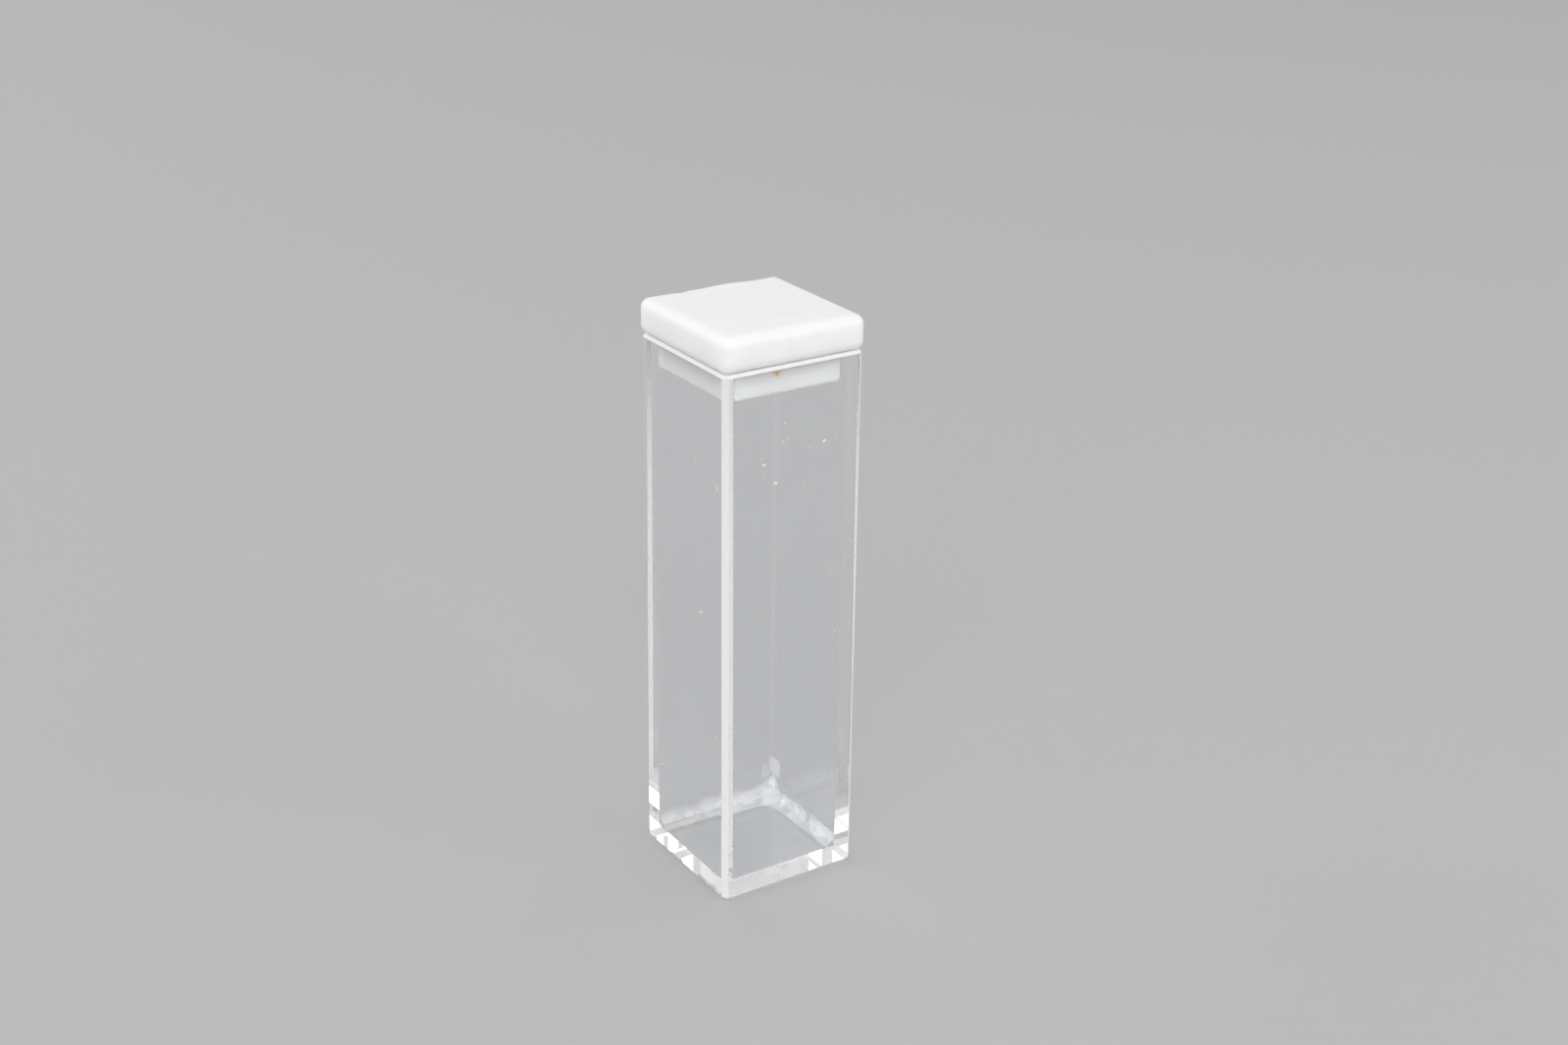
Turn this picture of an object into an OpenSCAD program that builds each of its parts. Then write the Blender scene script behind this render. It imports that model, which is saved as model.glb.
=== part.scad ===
// Square spectrophotometer cell (cuvette) with a loose plug lid.
// The cell stands on z = 0 with its axis on Z. All sizes are in millimetres.

/* [Glass cell] */
// Outside width of the square body
cell_w = 12.5; // [11:0.1:16]
// Height of the body up to the rim
cell_h = 45; // [30:1:60]
// Inside width of the cavity, which is the light path
path_w = 10; // [8:0.1:10]
// Thickness of the base under the cavity
base_t = 1.5; // [1:0.1:4]

/* [Ground edges] */
// Width of the ground bevel along each upright edge
upright_bevel = 0.4; // [0.1:0.05:0.5]
// Width of the ground bevel around the outside of the rim
rim_bevel = 0.2; // [0.1:0.05:0.4]
// Width of the ground bevel around the foot
foot_bevel = 0.4; // [0.1:0.05:0.6]
// Width of the ground bevel around the inside of the mouth
mouth_bevel = 0.12; // [0.05:0.01:0.15]

/* [Lid] */
// Width of the square flange that lies on the rim
flange_w = 12.8; // [11:0.1:17]
// Thickness of the flange
flange_t = 2.9; // [2:0.1:6]
// Radius of the rounded edges and corners of the flange
flange_r = 0.8; // [0.2:0.05:0.9]
// Depth of the plug below the rim
plug_d = 2.6; // [1.5:0.1:8]
// Gap between the plug and the wall of the mouth on each side
plug_gap = 0.15; // [0.05:0.01:0.4]
// Radius of the rounded edges and corners of the plug
plug_r = 0.4; // [0.1:0.05:0.6]

/* [Hidden] */

plug_w = path_w - 2 * plug_gap;
plug_root = flange_t / 2;      // how far the plug runs up inside the flange
bore_top = 1;                  // how far the cavity cut runs past the rim
glass_colour = [0.86, 0.92, 0.95, 0.45];
lid_colour = [0.96, 0.96, 0.95];
$fn = 32;

// Rectangle w wide on X, from y0 to y1, with its lower and upper corners cut at 45 degrees
module bevelled_profile(w, y0, y1, low_cut, high_cut) {
    h = w / 2;
    polygon([
        [-h + low_cut, y0], [h - low_cut, y0], [h, y0 + low_cut], [h, y1 - high_cut],
        [h - high_cut, y1], [-h + high_cut, y1], [-h, y1 - high_cut], [-h, y0 + low_cut]
    ]);
}

// One direction of the body's side view: a slab with its rim and foot edges ground to bevels
module body_slab() {
    rotate([90, 0, 0])
        linear_extrude(cell_w + 2, center = true)
            bevelled_profile(cell_w, 0, cell_h, foot_bevel, rim_bevel);
}

// Outside of the body: a square prism with every outer edge ground to a bevel
module body_block() {
    intersection() {
        linear_extrude(cell_h)
            bevelled_profile(cell_w, -cell_w / 2, cell_w / 2, upright_bevel, upright_bevel);
        body_slab();
        rotate([0, 0, 90]) body_slab();
    }
}

// One direction of the mouth's bevel: a wedge-sided slab that widens upwards across the rim
module mouth_flare() {
    half = path_w / 2;
    top = cell_h + bore_top;
    rotate([90, 0, 0])
        linear_extrude(cell_w, center = true)
            polygon([
                [-half, cell_h - mouth_bevel], [half, cell_h - mouth_bevel],
                [half + mouth_bevel + bore_top, top], [-half - mouth_bevel - bore_top, top]
            ]);
}

// Square cavity, open at the rim, with a fine bevel around its mouth
module cavity() {
    translate([-path_w / 2, -path_w / 2, base_t])
        cube([path_w, path_w, cell_h - base_t + bore_top]);
    intersection() {
        mouth_flare();
        rotate([0, 0, 90]) mouth_flare();
    }
}

// Four polished windows and a base, fused into one body
module glass_cell() {
    color(glass_colour)
        difference() {
            body_block();
            cavity();
        }
}

// Square block standing on z = 0 with all its edges and corners rounded to radius r
module rounded_block(w, t, r) {
    core = w / 2 - r;
    ends = [-core, core];
    translate([-core, -core, 0]) cube([2 * core, 2 * core, t]);
    translate([-w / 2, -core, r]) cube([w, 2 * core, t - 2 * r]);
    translate([-core, -w / 2, r]) cube([2 * core, w, t - 2 * r]);
    for (x = ends, y = ends) {
        translate([x, y, r]) cylinder(r = r, h = t - 2 * r);
        for (z = [r, t - r]) translate([x, y, z]) sphere(r = r);
    }
    for (s = ends, z = [r, t - r]) {
        translate([s, 0, z]) rotate([90, 0, 0]) cylinder(r = r, h = 2 * core, center = true);
        translate([0, s, z]) rotate([0, 90, 0]) cylinder(r = r, h = 2 * core, center = true);
    }
}

// Lid made as one block: a flange that lies on the rim and a plug that centres it
module lid() {
    color(lid_colour) {
        translate([0, 0, cell_h]) rounded_block(flange_w, flange_t, flange_r);
        translate([0, 0, cell_h - plug_d]) rounded_block(plug_w, plug_d + plug_root, plug_r);
    }
}

glass_cell();
lid();
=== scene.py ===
import math
import random

import bpy
from mathutils import Matrix, Vector, noise


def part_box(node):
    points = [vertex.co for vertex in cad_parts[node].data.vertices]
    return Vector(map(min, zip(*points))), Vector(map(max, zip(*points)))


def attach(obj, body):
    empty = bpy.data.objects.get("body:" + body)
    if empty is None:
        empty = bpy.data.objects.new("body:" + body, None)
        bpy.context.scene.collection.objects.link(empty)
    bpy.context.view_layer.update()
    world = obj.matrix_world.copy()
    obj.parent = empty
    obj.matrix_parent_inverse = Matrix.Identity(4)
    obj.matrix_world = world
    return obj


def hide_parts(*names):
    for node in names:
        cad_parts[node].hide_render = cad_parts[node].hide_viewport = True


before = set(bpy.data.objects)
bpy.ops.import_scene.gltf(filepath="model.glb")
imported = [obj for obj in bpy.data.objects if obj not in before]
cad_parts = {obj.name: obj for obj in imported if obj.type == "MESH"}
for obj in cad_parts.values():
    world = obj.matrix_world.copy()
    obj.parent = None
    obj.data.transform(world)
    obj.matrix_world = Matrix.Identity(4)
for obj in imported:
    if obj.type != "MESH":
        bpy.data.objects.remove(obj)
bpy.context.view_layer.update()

mm = 0.001
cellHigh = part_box("glass_cell")[1]
lidLow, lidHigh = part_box("lid")
halfCell = cellHigh.x
halfLid = lidHigh.x
rimHeight = cellHigh.z
touch = 0.01 * mm        # places closer than this are the same place
tie = touch / 100        # distances that differ by less than this are equal
upright = 0.1            # a face whose normal has less Z than this stands upright
facingUp = 0.9           # a normal with more Z than this looks up
# the near and foot slots hold copies of the one ground finish that are painted brighter
polished, ground, groundNearLit, groundFootLit = range(4)  # material slots of the glass
print("stage: frame loaded")


# Measuring

def share(value, low, high):
    # how far a value has come from low to high, between 0 and 1
    return min(max((value - low) / (high - low), 0), 1)


def ease(part):
    # starts and ends gently between 0 and 1
    return part * part * (3 - 2 * part)


def wave(point, pitch):
    # smooth noise between about -1 and 1
    return 2 * noise.noise(point / pitch)


def reach(point):
    # how far a point stands out from the axis, square to the sides
    return max(abs(point.x), abs(point.y))


def farFrom(point, place, size):
    # distance from a place, as a multiple of a size that differs by axis
    off = point - Vector(place)
    return Vector(off[i] / size[i] for i in range(3)).length


# Selecting and shaping

def startFresh():
    if bpy.context.object and bpy.context.object.mode != "OBJECT":
        bpy.ops.object.mode_set(mode="OBJECT")
    bpy.ops.object.select_all(action="DESELECT")


def pick(piece):
    startFresh()
    piece.select_set(True)
    bpy.context.view_layer.objects.active = piece


def openWith(piece, mode, wanted):
    # opens edit mode with only the wanted verts, edges or faces of the piece selected
    pick(piece)
    bpy.context.tool_settings.mesh_select_mode = (mode == "VERT", mode == "EDGE", mode == "FACE")
    mesh = piece.data
    for group in (mesh.vertices, mesh.edges, mesh.polygons):
        group.foreach_set("select", [False] * len(group))
    group = {"VERT": mesh.vertices, "EDGE": mesh.edges, "FACE": mesh.polygons}[mode]
    for item in group:
        item.select = wanted(item)
    bpy.ops.object.mode_set(mode="EDIT")


def closeEdit():
    bpy.ops.object.mode_set(mode="OBJECT")


def edgeEnds(piece, edge):
    return [piece.data.vertices[i].co for i in edge.vertices]


def edgeLength(piece, edge):
    a, b = edgeEnds(piece, edge)
    return (a - b).length


def addBox(name, width, low, high):
    # a square block on the axis, sized in edit mode so that its object stays at the origin
    startFresh()
    bpy.ops.mesh.primitive_cube_add(size=1)
    piece = bpy.context.object
    piece.name = name
    bpy.ops.object.mode_set(mode="EDIT")
    bpy.ops.transform.resize(value=(width, width, high - low))
    bpy.ops.transform.translate(value=(0, 0, (low + high) / 2))
    closeEdit()
    return piece


def subdivideLong(piece, shortest, cuts, wanted=lambda edge: True):
    openWith(piece, "EDGE", lambda edge: edgeLength(piece, edge) > shortest and wanted(edge))
    bpy.ops.mesh.subdivide(number_cuts=cuts)
    closeEdit()


def smooth(piece, sharpest):
    # edges that turn by more than this many degrees stay sharp
    pick(piece)
    bpy.ops.object.shade_smooth_by_angle(angle=math.radians(sharpest))


def applyModifier(piece, kind, **settings):
    modifier = piece.modifiers.new(kind.lower(), kind)
    for name, value in settings.items():
        setattr(modifier, name, value)
    pick(piece)
    bpy.ops.object.modifier_apply(modifier=modifier.name)


def pull(piece, spot, shift, size):
    # moves the vertex nearest to a spot, and less and less of what lies round it
    nearest = min((v.co - spot).length for v in piece.data.vertices)
    openWith(piece, "VERT", lambda v: (v.co - spot).length < nearest + tie)
    bpy.ops.transform.translate(value=shift, use_proportional_edit=True,
                                proportional_edit_falloff="SMOOTH", proportional_size=size)
    closeEdit()


def roughen(piece, pitch, depth):
    # sinks the surface by up to depth in soft waves of the given pitch, never outwards
    waves = bpy.data.textures.new(piece.name + "Waves", "CLOUDS")
    waves.noise_scale = pitch
    applyModifier(piece, "DISPLACE", texture=waves, texture_coords="LOCAL", mid_level=0,
                  strength=-depth)


# Materials

def newMaterial(name):
    material = bpy.data.materials.new(name)
    material.use_nodes = True
    nodes = material.node_tree.nodes
    return material, nodes, material.node_tree.links, nodes["Principled BSDF"]


def addNoise(nodes, links, scale, detail, roughness=0.5):
    # noise on Object coordinates, with the scale given in blobs per metre
    place = nodes.new("ShaderNodeTexCoord")
    field = nodes.new("ShaderNodeTexNoise")
    field.inputs["Scale"].default_value = scale
    field.inputs["Detail"].default_value = detail
    field.inputs["Roughness"].default_value = roughness
    links.new(place.outputs["Object"], field.inputs["Vector"])
    return field.outputs["Fac"]


def addRange(nodes, links, source, low, high, fromLow=0.3, fromHigh=0.7):
    remap = nodes.new("ShaderNodeMapRange")
    remap.inputs["From Min"].default_value = fromLow
    remap.inputs["From Max"].default_value = fromHigh
    remap.inputs["To Min"].default_value = low
    remap.inputs["To Max"].default_value = high
    links.new(source, remap.inputs["Value"])
    return remap.outputs["Result"]


def addBlend(nodes, links, factor, first, second):
    # first and second are colours or outputs of other nodes
    blend = nodes.new("ShaderNodeMix")
    blend.data_type = "RGBA"
    links.new(factor, blend.inputs["Factor"])
    for name, colour in (("A", first), ("B", second)):
        socket = next(s for s in blend.inputs if s.name == name and s.type == "RGBA")
        if isinstance(colour, tuple):
            socket.default_value = colour
        else:
            links.new(colour, socket)
    return next(s for s in blend.outputs if s.type == "RGBA")


def addProduct(nodes, links, first, second):
    product = nodes.new("ShaderNodeMath")
    product.operation = "MULTIPLY"
    links.new(first, product.inputs[0])
    links.new(second, product.inputs[1])
    return product.outputs["Value"]


def addBump(nodes, links, source, depth, strength, shader):
    bump = nodes.new("ShaderNodeBump")
    bump.inputs["Distance"].default_value = depth
    bump.inputs["Strength"].default_value = strength
    links.new(source, bump.inputs["Height"])
    links.new(bump.outputs["Normal"], shader.inputs["Normal"])


def mixShaders(nodes, links, factor, first, second):
    mix = nodes.new("ShaderNodeMixShader")
    if isinstance(factor, float):
        mix.inputs["Fac"].default_value = factor
    else:
        links.new(factor, mix.inputs["Fac"])
    links.new(first, mix.inputs[1])
    links.new(second, mix.inputs[2])
    return mix.outputs["Shader"]


# Glass cell: one body, hollowed from the top, with every outer edge ground

cellPlan = {
    "wall": 1.25 * mm,
    "base": 1.5 * mm,
    "uprightBevel": 0.4 * mm,
    "rimBevel": 0.2 * mm,
    "footBevel": 0.4 * mm,
    "mouthBevel": 0.12 * mm,
    "wander": 0.006 * mm,       # how far the border of a ground edge strays from straight
    "wanderPitch": 1.6 * mm,
    "chips": 22,                # nicks along the ground edges
    "chipReach": (0.1 * mm, 0.3 * mm),
    "chipDepth": (0.02 * mm, 0.06 * mm),
    "chipSeed": 11,
    "edgeCuts": ((20 * mm, 3), (5 * mm, 80)),  # edges longer than this get so many cuts
    "index": 1.46,              # fused silica
    "glassColour": (0.99, 0.995, 1.0, 1),
    "shadowColour": (0.96, 0.965, 0.97, 1),
    "groundColour": (0.97, 0.975, 0.98, 1),
    "scatterColour": (0.97, 0.97, 0.975, 1),
    "groundGrain": (9000, 2, 0.7),  # noise: blobs per metre, detail, roughness
    "groundRoughness": (0.5, 0.7),
    "scatter": 0.97,            # share of the light that a ground face scatters
    # shares of the light that a ground face passes instead of throwing back, seen from
    # outside and from inside the glass. The near edge and foot copies pass more, which is painted
    # light that makes them look brighter; the real ground finish is the same everywhere
    "groundAndLitCopies": {"groundGlass": (0.12, 0.12), "groundNearEdgeLit": (0.2, 0.8),
                 "groundFootLit": (0.75, 0.12)},
}


def polishedGlass(plan):
    material, nodes, links, glass = newMaterial("polishedGlass")
    glass.inputs["Base Color"].default_value = plan["glassColour"]
    glass.inputs["IOR"].default_value = plan["index"]
    glass.inputs["Transmission Weight"].default_value = 1
    glass.inputs["Roughness"].default_value = 0
    # lamps shine in through the walls without bending, so that the shadow stays pale
    path = nodes.new("ShaderNodeLightPath")
    clear = nodes.new("ShaderNodeBsdfTransparent")
    clear.inputs["Color"].default_value = plan["shadowColour"]
    mixed = mixShaders(nodes, links, path.outputs["Is Shadow Ray"], glass.outputs["BSDF"],
                       clear.outputs["BSDF"])
    links.new(mixed, nodes["Material Output"].inputs["Surface"])
    return material


def groundGlass(plan, name, passed):
    # a ground face scatters light back and through, and stays a little see-through
    material, nodes, links, glass = newMaterial(name)
    glass.inputs["Base Color"].default_value = plan["groundColour"]
    glass.inputs["IOR"].default_value = plan["index"]
    glass.inputs["Transmission Weight"].default_value = 1
    grain = addNoise(nodes, links, *plan["groundGrain"])
    links.new(addRange(nodes, links, grain, *plan["groundRoughness"]), glass.inputs["Roughness"])
    front = nodes.new("ShaderNodeBsdfDiffuse")
    through = nodes.new("ShaderNodeBsdfTranslucent")
    for scattered in (front, through):
        scattered.inputs["Color"].default_value = plan["scatterColour"]
    side = nodes.new("ShaderNodeNewGeometry")
    # the near edge and foot copies pass more here, painted light that makes them look brighter
    portion = addRange(nodes, links, side.outputs["Backfacing"], *passed, 0, 1)
    white = mixShaders(nodes, links, portion, front.outputs["BSDF"], through.outputs["BSDF"])
    whole = mixShaders(nodes, links, plan["scatter"], glass.outputs["BSDF"], white)
    links.new(whole, nodes["Material Output"].inputs["Surface"])
    return material


def bevelEdges(piece, width, wanted, shortest=0):
    openWith(piece, "EDGE", lambda edge: edgeLength(piece, edge) > shortest
             and all(wanted(p) for p in edgeEnds(piece, edge)))
    bpy.ops.mesh.bevel(offset=width, segments=1, affect="EDGES", material=ground)
    closeEdit()


def edgeSlots(piece):
    # for every edge, the slots of the faces beside it
    slots = {}
    for face in piece.data.polygons:
        for key in face.edge_keys:
            slots.setdefault(key, []).append(face.material_index)
    return slots


def groundBorders(piece):
    # each vertex inside a border between polished and ground, with the way into the polished face
    mesh = piece.data
    keysAt, facesAt = {}, {}
    for key, slots in edgeSlots(piece).items():
        if sorted(slots) == [polished, ground]:
            for i in key:
                keysAt.setdefault(i, []).append(key)
    for face in mesh.polygons:
        if face.material_index == polished:
            for i in face.vertices:
                facesAt.setdefault(i, []).append(face)
    borders = {}
    for i, keys in keysAt.items():
        if len(keys) != 2 or len(facesAt.get(i, [])) != 1:
            continue
        ends = [mesh.vertices[j].co for key in keys for j in key if j != i]
        face = facesAt[i][0]
        into = face.normal.cross((ends[0] - ends[1]).normalized())
        here = mesh.vertices[i].co
        borders[i] = into if into.dot(face.center - here) > 0 else -into
    return borders


def strayFromStraight(piece, plan):
    # borders of the ground edges wander and have nicks, in the plane of the polished face
    mesh = piece.data
    borders = groundBorders(piece)
    draw = random.Random(plan["chipSeed"])
    chips = [(mesh.vertices[i].co.copy(), draw.uniform(*plan["chipReach"]),
              draw.uniform(*plan["chipDepth"]))
             for i in draw.sample(sorted(borders), plan["chips"])]
    moves = {}
    for i, into in borders.items():
        here = mesh.vertices[i].co
        move = wave(here, plan["wanderPitch"]) * plan["wander"]
        for place, size, depth in chips:
            near = 1 - (here - place).length / size
            if near > 0:
                move += depth * ease(near)
        moves[i] = into * move
    for i, move in moves.items():
        mesh.vertices[i].co += move


def makeGlassCell(plan):
    cell = addBox("fusedGlassCell", 2 * halfCell, 0, rimHeight)
    cell.data.materials.append(polishedGlass(plan))
    for name, passed in plan["groundAndLitCopies"].items():
        cell.data.materials.append(groundGlass(plan, name, passed))
    openWith(cell, "FACE", lambda face: face.normal.z > facingUp)
    bpy.ops.mesh.inset(thickness=plan["wall"])
    drop = plan["base"] - rimHeight
    bpy.ops.mesh.extrude_region_move(TRANSFORM_OT_translate={"value": (0, 0, drop)})
    closeEdit()
    inside = halfCell - plan["wall"]
    bevelEdges(cell, plan["uprightBevel"],
               lambda p: min(abs(p.x), abs(p.y)) > halfCell - touch, rimHeight - touch)
    bevelEdges(cell, plan["rimBevel"],
               lambda p: p.z > rimHeight - touch and reach(p) > halfCell - touch)
    bevelEdges(cell, plan["footBevel"], lambda p: p.z < touch and reach(p) > halfCell - touch)
    bevelEdges(cell, plan["mouthBevel"],
               lambda p: p.z > rimHeight - touch and reach(p) < inside + touch)
    for face in cell.data.polygons:
        if face.normal.z > facingUp and face.center.z > rimHeight - touch:
            face.material_index = ground
    for shortest, cuts in plan["edgeCuts"]:
        slots = edgeSlots(cell)
        subdivideLong(cell, shortest, cuts, lambda edge: ground in slots[edge.key])
    strayFromStraight(cell, plan)
    # the near upright edges and the foot get the copies that pass more light: painted brightness, not a
    # different finish
    for face in cell.data.polygons:
        if face.material_index != ground:
            continue
        if face.normal.z < -upright:
            face.material_index = groundFootLit
        elif face.normal.z < upright and face.center.x + face.center.y < touch:
            face.material_index = groundNearLit
    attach(cell, "cell")
    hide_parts("glass_cell")


# Lid: a flange that lies on the rim and a plug that centres it in the mouth

lidPlan = {
    "flangeRadius": 0.8 * mm,
    "plugWidth": 9.7 * mm,
    "plugRadius": 0.4 * mm,
    "roundSteps": 8,
    "longest": 1 * mm,          # edges longer than this are cut
    "gridCuts": 40,
    "sharpest": 35,             # degrees
    "waves": 0.03 * mm,         # how deep the soft waves of the surface are
    "wavePitch": 3.5 * mm,
    "slope": 0.09 * mm,         # the top is this much lower at its +X side
    # marks along the top edge at +Y: place along X, reach, rise
    "edgeMarks": [(-2.9 * mm, 0.9 * mm, -0.13 * mm), (1.3 * mm, 2.4 * mm, 0.07 * mm),
                  (2.2 * mm, 0.4 * mm, -0.08 * mm), (4.6 * mm, 1.6 * mm, -0.03 * mm)],
    "stainPlace": (-1.1 * mm, -4.85 * mm, 44.15 * mm),
    "stainSize": (0.5 * mm, 1 * mm, 0.28 * mm),
    "stainGrain": (4200, 3, 0.6),  # noise: blobs per metre, detail, roughness
    "stainRagged": 0.45,
    "stainHalo": (0.88, 0.64, 0.27, 1),
    "stainCore": (0.50, 0.26, 0.07, 1),
    # strength near the middle and at the rim, and how far out each is
    "haloFade": (0.75, 0, 0.25, 1.15),
    "coreFade": (0.85, 0, 0, 0.45),
    "whites": ((0.90, 0.90, 0.885, 1), (0.93, 0.93, 0.925, 1)),
    "whiteClouds": (450, 3),
    "index": 1.36,
    "depth": 1.2 * mm,          # how far light gets under the surface
    "depthColour": (1.0, 0.95, 0.9),
    "grain": (5200, 4, 0.6),
    "grainDepth": 0.012 * mm,
    "grainStrength": 0.5,
    "roughness": (0.38, 0.56),
}


def whiteFluoropolymer(plan):
    material, nodes, links, plastic = newMaterial("whiteFluoropolymer")
    plastic.inputs["IOR"].default_value = plan["index"]
    plastic.inputs["Subsurface Weight"].default_value = 1
    plastic.inputs["Subsurface Radius"].default_value = plan["depthColour"]
    plastic.inputs["Subsurface Scale"].default_value = plan["depth"]
    clouds = addNoise(nodes, links, *plan["whiteClouds"])
    white = addBlend(nodes, links, addRange(nodes, links, clouds, 0, 1), *plan["whites"])
    # the stain fades with the distance from its middle, which noise makes ragged
    place = nodes.new("ShaderNodeTexCoord")
    centre = nodes.new("ShaderNodeMapping")
    centre.vector_type = "TEXTURE"
    centre.inputs["Location"].default_value = plan["stainPlace"]
    centre.inputs["Scale"].default_value = plan["stainSize"]
    spread = nodes.new("ShaderNodeVectorMath")
    spread.operation = "LENGTH"
    links.new(place.outputs["Object"], centre.inputs["Vector"])
    links.new(centre.outputs["Vector"], spread.inputs[0])
    ragged = nodes.new("ShaderNodeMath")
    ragged.operation = "ADD"
    stray = addNoise(nodes, links, *plan["stainGrain"])
    links.new(spread.outputs["Value"], ragged.inputs[0])
    links.new(addRange(nodes, links, stray, -plan["stainRagged"], plan["stainRagged"]),
              ragged.inputs[1])
    halo = addRange(nodes, links, ragged.outputs["Value"], *plan["haloFade"])
    core = addRange(nodes, links, ragged.outputs["Value"], *plan["coreFade"])
    stained = addBlend(nodes, links, halo, white, plan["stainHalo"])
    darkened = addBlend(nodes, links, core, stained, plan["stainCore"])
    links.new(darkened, plastic.inputs["Base Color"])
    grain = addNoise(nodes, links, *plan["grain"])
    links.new(addRange(nodes, links, grain, *plan["roughness"]), plastic.inputs["Roughness"])
    addBump(nodes, links, grain, plan["grainDepth"], plan["grainStrength"], plastic)
    return material


def roundedBlock(name, width, low, high, radius, plan):
    piece = addBox(name, width, low, high)
    openWith(piece, "EDGE", lambda edge: True)
    bpy.ops.mesh.bevel(offset=radius, segments=plan["roundSteps"], affect="EDGES")
    closeEdit()
    subdivideLong(piece, plan["longest"], plan["gridCuts"])
    return piece


def makeLid(plan):
    lid = roundedBlock("plugLid", 2 * halfLid, rimHeight, lidHigh.z, plan["flangeRadius"], plan)
    thick = lidHigh.z - rimHeight
    for point in lid.data.vertices:
        across = (point.co.x + halfLid) / (2 * halfLid)
        point.co.z -= plan["slope"] * ((point.co.z - rimHeight) / thick * across)
    for along, size, rise in plan["edgeMarks"]:
        pull(lid, Vector((along, halfLid, lidHigh.z)), (0, 0, rise), size)
    roughen(lid, plan["wavePitch"], plan["waves"])
    for point in lid.data.vertices:
        point.co.z = min(point.co.z, lidHigh.z)
    plug = roundedBlock("plug", plan["plugWidth"], lidLow.z, rimHeight + thick / 2,
                        plan["plugRadius"], plan)
    roughen(plug, plan["wavePitch"], plan["waves"])
    applyModifier(lid, "BOOLEAN", operation="UNION", solver="EXACT", object=plug)
    bpy.data.objects.remove(plug)
    lid.data.materials.append(whiteFluoropolymer(plan))
    smooth(lid, plan["sharpest"])
    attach(lid, "lid")
    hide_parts("lid")


# Dried residue: a thin whitish crust that fillets the two far seams of the bottom

residuePlan = {
    "gap": 0.02 * mm,           # between the crust and the glass
    "thickness": 0.02 * mm,
    "pitch": 0.1 * mm,
    # how far it spreads over the bottom beside the +Y wall, the +X wall and their corner
    "spread": (1.25 * mm, 0.85 * mm, 0.3 * mm),
    "rise": 1.3 * mm,           # how far it climbs the walls
    "ragged": 0.22,             # share by which that varies
    "widest": 1.1,              # share of the spread at which the mesh ends
    "sharpest": 60,             # degrees
    "cloudPitch": 1.2 * mm,
    "densityPitch": 1.2 * mm / 1.3,
    "densityNoise": (-0.3, 0.4),  # noise that gives the thinnest and the densest
    "density": (0.11, 0.3),
    # where it fades: at its edge, at the seams, round a lump, round a gap
    "edgeFade": (1.05, 0.95),
    "seamFade": (0.02, 0.32),
    "lumpFade": (1.3, 0.6),
    "gapFade": (0.7, 1.05),
    # lumps: place, size, how dense
    "lumps": [((4.9 * mm, 2.3 * mm, 2.4 * mm), (0.8 * mm, 0.7 * mm, 0.6 * mm), 0.7),
              ((4.9 * mm, 4.3 * mm, 2.2 * mm), (1 * mm, 0.7 * mm, 0.6 * mm), 0.42),
              ((4.9 * mm, 4.2 * mm, 3.2 * mm), (0.8 * mm, 0.8 * mm, 0.5 * mm), 1.0),
              ((4.9 * mm, 0.1 * mm, 2.3 * mm), (0.6 * mm, 0.65 * mm, 0.5 * mm), 0.6),
              ((4.9 * mm, -3.1 * mm, 2.1 * mm), (0.6 * mm, 1.4 * mm, 0.5 * mm), 0.75),
              ((1.5 * mm, 5.0 * mm, 2.0 * mm), (1.6 * mm, 0.8 * mm, 0.6 * mm), 0.35)],
    # gaps between the lumps: place, size
    "gaps": [((4.85 * mm, 1.25 * mm, 2.75 * mm), (0.6 * mm, 0.65 * mm, 0.75 * mm)),
             ((4.75 * mm, -1.35 * mm, 2.25 * mm), (0.4 * mm, 0.38 * mm, 0.4 * mm)),
             ((4.9 * mm, 4.2 * mm, 2.6 * mm), (0.5 * mm, 0.9 * mm, 0.16 * mm))],
    # where it climbs higher up the wall: place, size, rise
    "peak": ((4.9 * mm, 4.2 * mm), 1.3 * mm, 1.0 * mm),
    # where it has turned yellow: along X from and to, distance from the +Y wall, width
    "yellow": (-5 * mm, -0.8 * mm, 0.7 * mm, 0.12 * mm),
    "colours": ((0.90, 0.905, 0.92, 1), (0.66, 0.49, 0.12, 1)),
    "grain": (1000, 3, 0.5),
    "grainRange": (0.75, 1.2),
    "roughness": 0.8,
    "index": 1.3,
}


def crustEdge(point, plan):
    # 0 at the seams of the bottom, 1 at the crust's edge
    inside = halfCell - cellPlan["wall"]
    offX, offY = inside - point.x, inside - point.y
    reaches = zip(plan["spread"], (offY, offX, math.hypot(offX, offY)))
    return sum((wide / off) ** 2 for wide, off in reaches) ** -0.5


def crustDensity(point, plan):
    edge = crustEdge(point, plan)
    cloud = noise.noise(point / plan["densityPitch"])
    thin, thick = plan["density"]
    density = thin + (thick - thin) * share(cloud, *plan["densityNoise"])
    for place, size, dense in plan["lumps"]:
        far = farFrom(point, place, size) + cloud
        density = max(density, dense * share(far, *plan["lumpFade"]))
    for place, size in plan["gaps"]:
        density *= share(farFrom(point, place, size), *plan["gapFade"])
    return density * share(edge, *plan["edgeFade"]) * share(edge, *plan["seamFade"])


def crustYellow(point, plan):
    # full along the first third of its length, then fading
    start, end, middle, width = plan["yellow"]
    across = halfCell - cellPlan["wall"] - point.y
    return share(abs(across - middle), width, 0) * share(point.x, end, start + (end - start) / 3)


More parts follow.
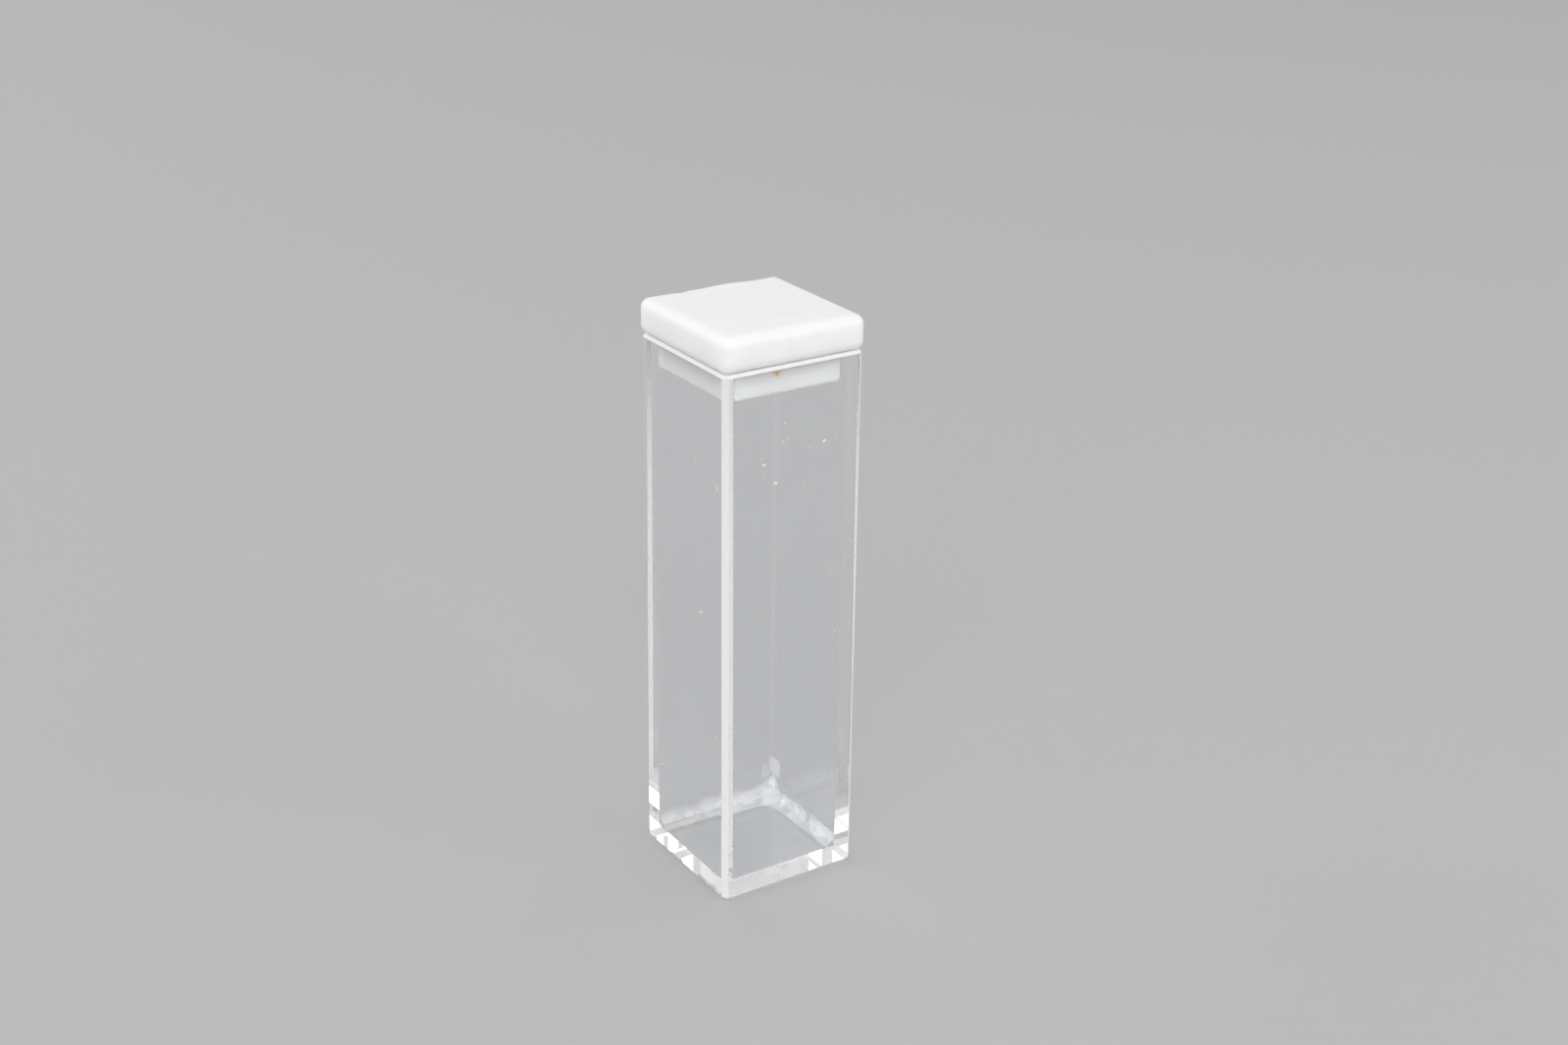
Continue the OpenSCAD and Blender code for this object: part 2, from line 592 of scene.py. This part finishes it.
def driedResidue(plan):
    material, nodes, links, crust = newMaterial("driedResidue")
    crust.inputs["Roughness"].default_value = plan["roughness"]
    crust.inputs["IOR"].default_value = plan["index"]
    painted = {}
    for name in ("crustCover", "crustYellow"):
        painted[name] = nodes.new("ShaderNodeAttribute")
        painted[name].attribute_name = name
    grain = addRange(nodes, links, addNoise(nodes, links, *plan["grain"]), *plan["grainRange"])
    cover = addProduct(nodes, links, painted["crustCover"].outputs["Fac"], grain)
    links.new(cover, crust.inputs["Alpha"])
    tint = addBlend(nodes, links, painted["crustYellow"].outputs["Fac"], *plan["colours"])
    links.new(tint, crust.inputs["Base Color"])
    return material


def makeResidue(plan):
    inside = halfCell - cellPlan["wall"] - plan["gap"]
    startFresh()
    cuts = round(2 * inside / plan["pitch"])
    bpy.ops.mesh.primitive_grid_add(x_subdivisions=cuts, y_subdivisions=cuts, size=2 * inside)
    residue = bpy.context.object
    residue.name = "driedResidue"
    bpy.ops.object.mode_set(mode="EDIT")
    bpy.ops.transform.translate(value=(0, 0, cellPlan["base"] + plan["gap"]))
    closeEdit()
    openWith(residue, "FACE", lambda face: crustEdge(face.center, plan) > plan["widest"])
    bpy.ops.mesh.delete(type="FACE")
    closeEdit()
    place, size, higher = plan["peak"]
    for point in residue.data.vertices:
        rough = 1 + plan["ragged"] * wave(point.co, plan["cloudPitch"])
        climb = share(crustEdge(point.co, plan), 1, 0) ** 2
        peak = higher * ease(share((point.co.xy - Vector(place)).length, size, 0))
        point.co.z += (plan["rise"] * rough + peak) * climb
    applyModifier(residue, "SOLIDIFY", thickness=plan["thickness"], offset=0)
    for name, paint in (("crustCover", crustDensity), ("crustYellow", crustYellow)):
        layer = residue.data.attributes.new(name, "FLOAT", "POINT")
        layer.data.foreach_set("value", [paint(v.co, plan) for v in residue.data.vertices])
    residue.data.materials.append(driedResidue(plan))
    smooth(residue, plan["sharpest"])
    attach(residue, "cell")


# Dust: small flattened crumbs on the two near faces

dustPlan = {
    "seed": 5,
    "lift": 0.01,               # between a crumb and the glass, in millimetres
    "ragged": {"offset": 0.12, "uniform": 0.3, "normal": 0.6},
    "colours": ((0.96, 0.96, 0.96, 1), (0.86, 0.85, 0.82, 1)),
    "clouds": (2600, 2),
    "roughness": 0.9,
    # all in millimetres and degrees; on the -X face: along Y, height, length, width, turn
    "left": [(-2.82, 24.71, 0.22, 0.18, 0), (4.0, 34.19, 0.09, 0.08, 0),
             (2.82, 35.08, 0.22, 0.06, 10), (-5.22, 36.2, 0.4, 0.07, 55),
             (-5.3, 35.95, 0.34, 0.06, -35), (-5.12, 35.8, 0.22, 0.06, 100),
             (-2.17, 37.31, 0.12, 0.1, 0), (1.53, 39.15, 0.1, 0.08, 0),
             (3.4, 8.3, 0.8, 0.035, 25), (3.75, 8.1, 0.4, 0.03, 10),
             (-5.1, 14.7, 0.12, 0.1, 0), (-4.95, 14.45, 0.1, 0.07, 40), (-5.2, 14.95, 0.1, 0.06, 80),
             (1.2, 15.6, 0.08, 0.06, 0), (-4.4, 11.2, 0.09, 0.07, 0), (0.4, 29.3, 0.07, 0.05, 0),
             (3.1, 8.2, 0.08, 0.06, 0), (-1.7, 40.1, 0.08, 0.06, 0), (5.0, 21.4, 0.07, 0.05, 0)],
    # on the -Y face: along X, height, length, width, turn
    "right": [(2.66, 38.34, 0.29, 0.17, 45), (-1.71, 35.76, 0.28, 0.2, 0),
              (-2.8, 37.48, 0.32, 0.14, 15), (-2.99, 38.72, 0.1, 0.06, 80),
              (-2.94, 38.0, 0.14, 0.08, 90), (-2.79, 36.58, 0.1, 0.07, 0),
              (-1.03, 39.01, 0.24, 0.06, -60), (-0.59, 39.17, 0.3, 0.06, 45),
              (1.35, 38.07, 0.12, 0.08, -20), (-4.89, 39.78, 0.12, 0.1, 0),
              (-0.91, 40.43, 0.12, 0.07, 20), (0.87, 39.6, 0.09, 0.07, 0), (2.57, 39.73, 0.09, 0.07, 0),
              (3.83, 38.35, 0.1, 0.08, 0), (1.73, 35.03, 0.09, 0.08, 0),
              (0.86, 35.1, 0.2, 0.04, 30), (3.67, 27.58, 0.16, 0.07, -30),
              (3.58, 27.0, 0.1, 0.07, 0), (3.99, 21.96, 0.13, 0.1, 0), (4.4, 20.7, 0.08, 0.06, 0),
              (-2.2, 30.4, 0.09, 0.06, 0), (0.8, 18.2, 0.08, 0.06, 0), (-3.6, 25.1, 0.09, 0.07, 0),
              (2.2, 12.6, 0.08, 0.06, 0), (4.5, 31.2, 0.12, 0.05, 70)],
}


def paleDust(plan):
    material, nodes, links, dust = newMaterial("paleDust")
    tone = addRange(nodes, links, addNoise(nodes, links, *plan["clouds"]), 0, 1)
    links.new(addBlend(nodes, links, tone, *plan["colours"]), dust.inputs["Base Color"])
    dust.inputs["Roughness"].default_value = plan["roughness"]
    return material


def addCrumb(place, size, axis, turn, ragged, seed):
    # a ball made ragged, squashed to size and turned in the plane of the face that it lies on
    startFresh()
    bpy.ops.mesh.primitive_ico_sphere_add(subdivisions=2, radius=0.5)
    crumb = bpy.context.object
    bpy.ops.object.mode_set(mode="EDIT")
    bpy.ops.transform.vertex_random(seed=seed, **ragged)
    bpy.ops.transform.resize(value=size, center_override=(0, 0, 0))
    bpy.ops.transform.rotate(value=math.radians(turn), orient_axis=axis,
                             center_override=(0, 0, 0))
    bpy.ops.transform.translate(value=place)
    closeEdit()
    return crumb


def joinAll(pieces, name):
    startFresh()
    for piece in pieces:
        piece.select_set(True)
    bpy.context.view_layer.objects.active = pieces[0]
    bpy.ops.object.join()
    pieces[0].name = name
    return pieces[0]


def makeDust(plan):
    draw = random.Random(plan["seed"])
    crumbs = []
    for side in ("left", "right"):
        for along, height, length, width, turn in plan[side]:
            flat = width / 2
            out = halfCell / mm + plan["lift"] + flat / 2
            place, size, axis = (along, -out, height), (length, flat, width), "Y"
            if side == "left":
                place, size, axis = (-out, along, height), (flat, length, width), "X"
            crumbs.append(addCrumb([v * mm for v in place], [v * mm for v in size], axis, turn,
                                   plan["ragged"], draw.randint(0, 9999)))
    dust = joinAll(crumbs, "dustSpecks")
    dust.data.materials.append(paleDust(plan))
    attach(dust, "cell")


# Floor, light and camera

stagePlan = {
    "floorSize": 8.0,
    "floorColour": (0.52, 0.52, 0.525, 1),
    "floorRoughness": 0.9,
    "floorGloss": 0.1,
    "glow": (0.8, 0.6),         # how bright the room is at floor level and high up
    "highUp": 0.8,              # Z of the direction that counts as high up
}

# name, place, size, watts, with lengths in metres
lampPlan = [
    ("leftSoftbox", (-0.54, 0.77, 0.57), 0.66, 2.5),
    ("rightSoftbox", (0.47, -0.83, 0.56), 0.66, 2.1),
    ("frontSoftbox", (-0.62, -0.80, 0.60), 0.9, 4.5),
]

cameraPlan = {
    "azimuth": -33.28,
    "elevation": 22.94,
    "roll": 0.69,
    "distance": 185.0 * mm,
    "aside": 3.02 * mm,         # camera's offset from the axis, across its own view
    "above": 27.53 * mm,
    "lens": 50.1,
}


def makeStage(plan):
    startFresh()
    bpy.ops.mesh.primitive_plane_add(size=plan["floorSize"], location=(0, 0, -touch))
    floor = bpy.context.object
    floor.name = "paleFloor"
    material, nodes, links, surface = newMaterial("paleFloor")
    surface.inputs["Base Color"].default_value = plan["floorColour"]
    surface.inputs["Roughness"].default_value = plan["floorRoughness"]
    surface.inputs["Specular IOR Level"].default_value = plan["floorGloss"]
    floor.data.materials.append(material)
    world = bpy.data.worlds.new("studio")
    bpy.context.scene.world = world
    world.use_nodes = True
    nodes, links = world.node_tree.nodes, world.node_tree.links
    sky = nodes["Background"]
    sky.inputs["Color"].default_value = (1, 1, 1, 1)
    towards = nodes.new("ShaderNodeTexCoord")
    height = nodes.new("ShaderNodeSeparateXYZ")
    links.new(towards.outputs["Generated"], height.inputs["Vector"])
    glow = addRange(nodes, links, height.outputs["Z"], *plan["glow"], 0, plan["highUp"])
    links.new(glow, sky.inputs["Strength"])


def makeLamps(lamps):
    aim = Vector((0, 0, rimHeight / 2))
    for name, place, size, watts in lamps:
        startFresh()
        bpy.ops.object.light_add(type="AREA", location=place)
        lamp = bpy.context.object
        lamp.name = name
        lamp.data.size = size
        lamp.data.energy = watts
        lamp.rotation_euler = (aim - Vector(place)).to_track_quat("-Z", "Y").to_euler()


def makeCamera(plan):
    azimuth, elevation, roll = (math.radians(plan[k]) for k in ("azimuth", "elevation", "roll"))
    level, tilt = math.cos(elevation), math.sin(elevation)
    back = Vector((math.sin(azimuth) * level, -math.cos(azimuth) * level, tilt))
    across = Vector((math.cos(azimuth), math.sin(azimuth), 0))
    turn = Matrix.Rotation(roll, 3, back)
    right = turn @ across
    up = turn @ back.cross(across)
    place = back * plan["distance"] + right * plan["aside"] + up * plan["above"]
    startFresh()
    bpy.ops.object.camera_add(location=place)
    camera = bpy.context.object
    axes = Matrix((right, up, back)).transposed()
    camera.rotation_euler = axes.to_euler()
    camera.data.lens = plan["lens"]
    camera.data.clip_start = 1 * mm
    bpy.context.scene.camera = camera


makeCamera(cameraPlan)
makeStage(stagePlan)
makeLamps(lampPlan)
print("stage: floor, light and camera")
makeGlassCell(cellPlan)
print("stage: glass cell")
makeLid(lidPlan)
print("stage: lid")
makeResidue(residuePlan)
makeDust(dustPlan)
print("stage: residue and dust")

scene = bpy.context.scene
scene.view_settings.view_transform = "Standard"
# light crosses the glass walls many times
scene.cycles.max_bounces = 32
scene.cycles.transmission_bounces = 32
scene.cycles.glossy_bounces = 16
scene.cycles.transparent_max_bounces = 32
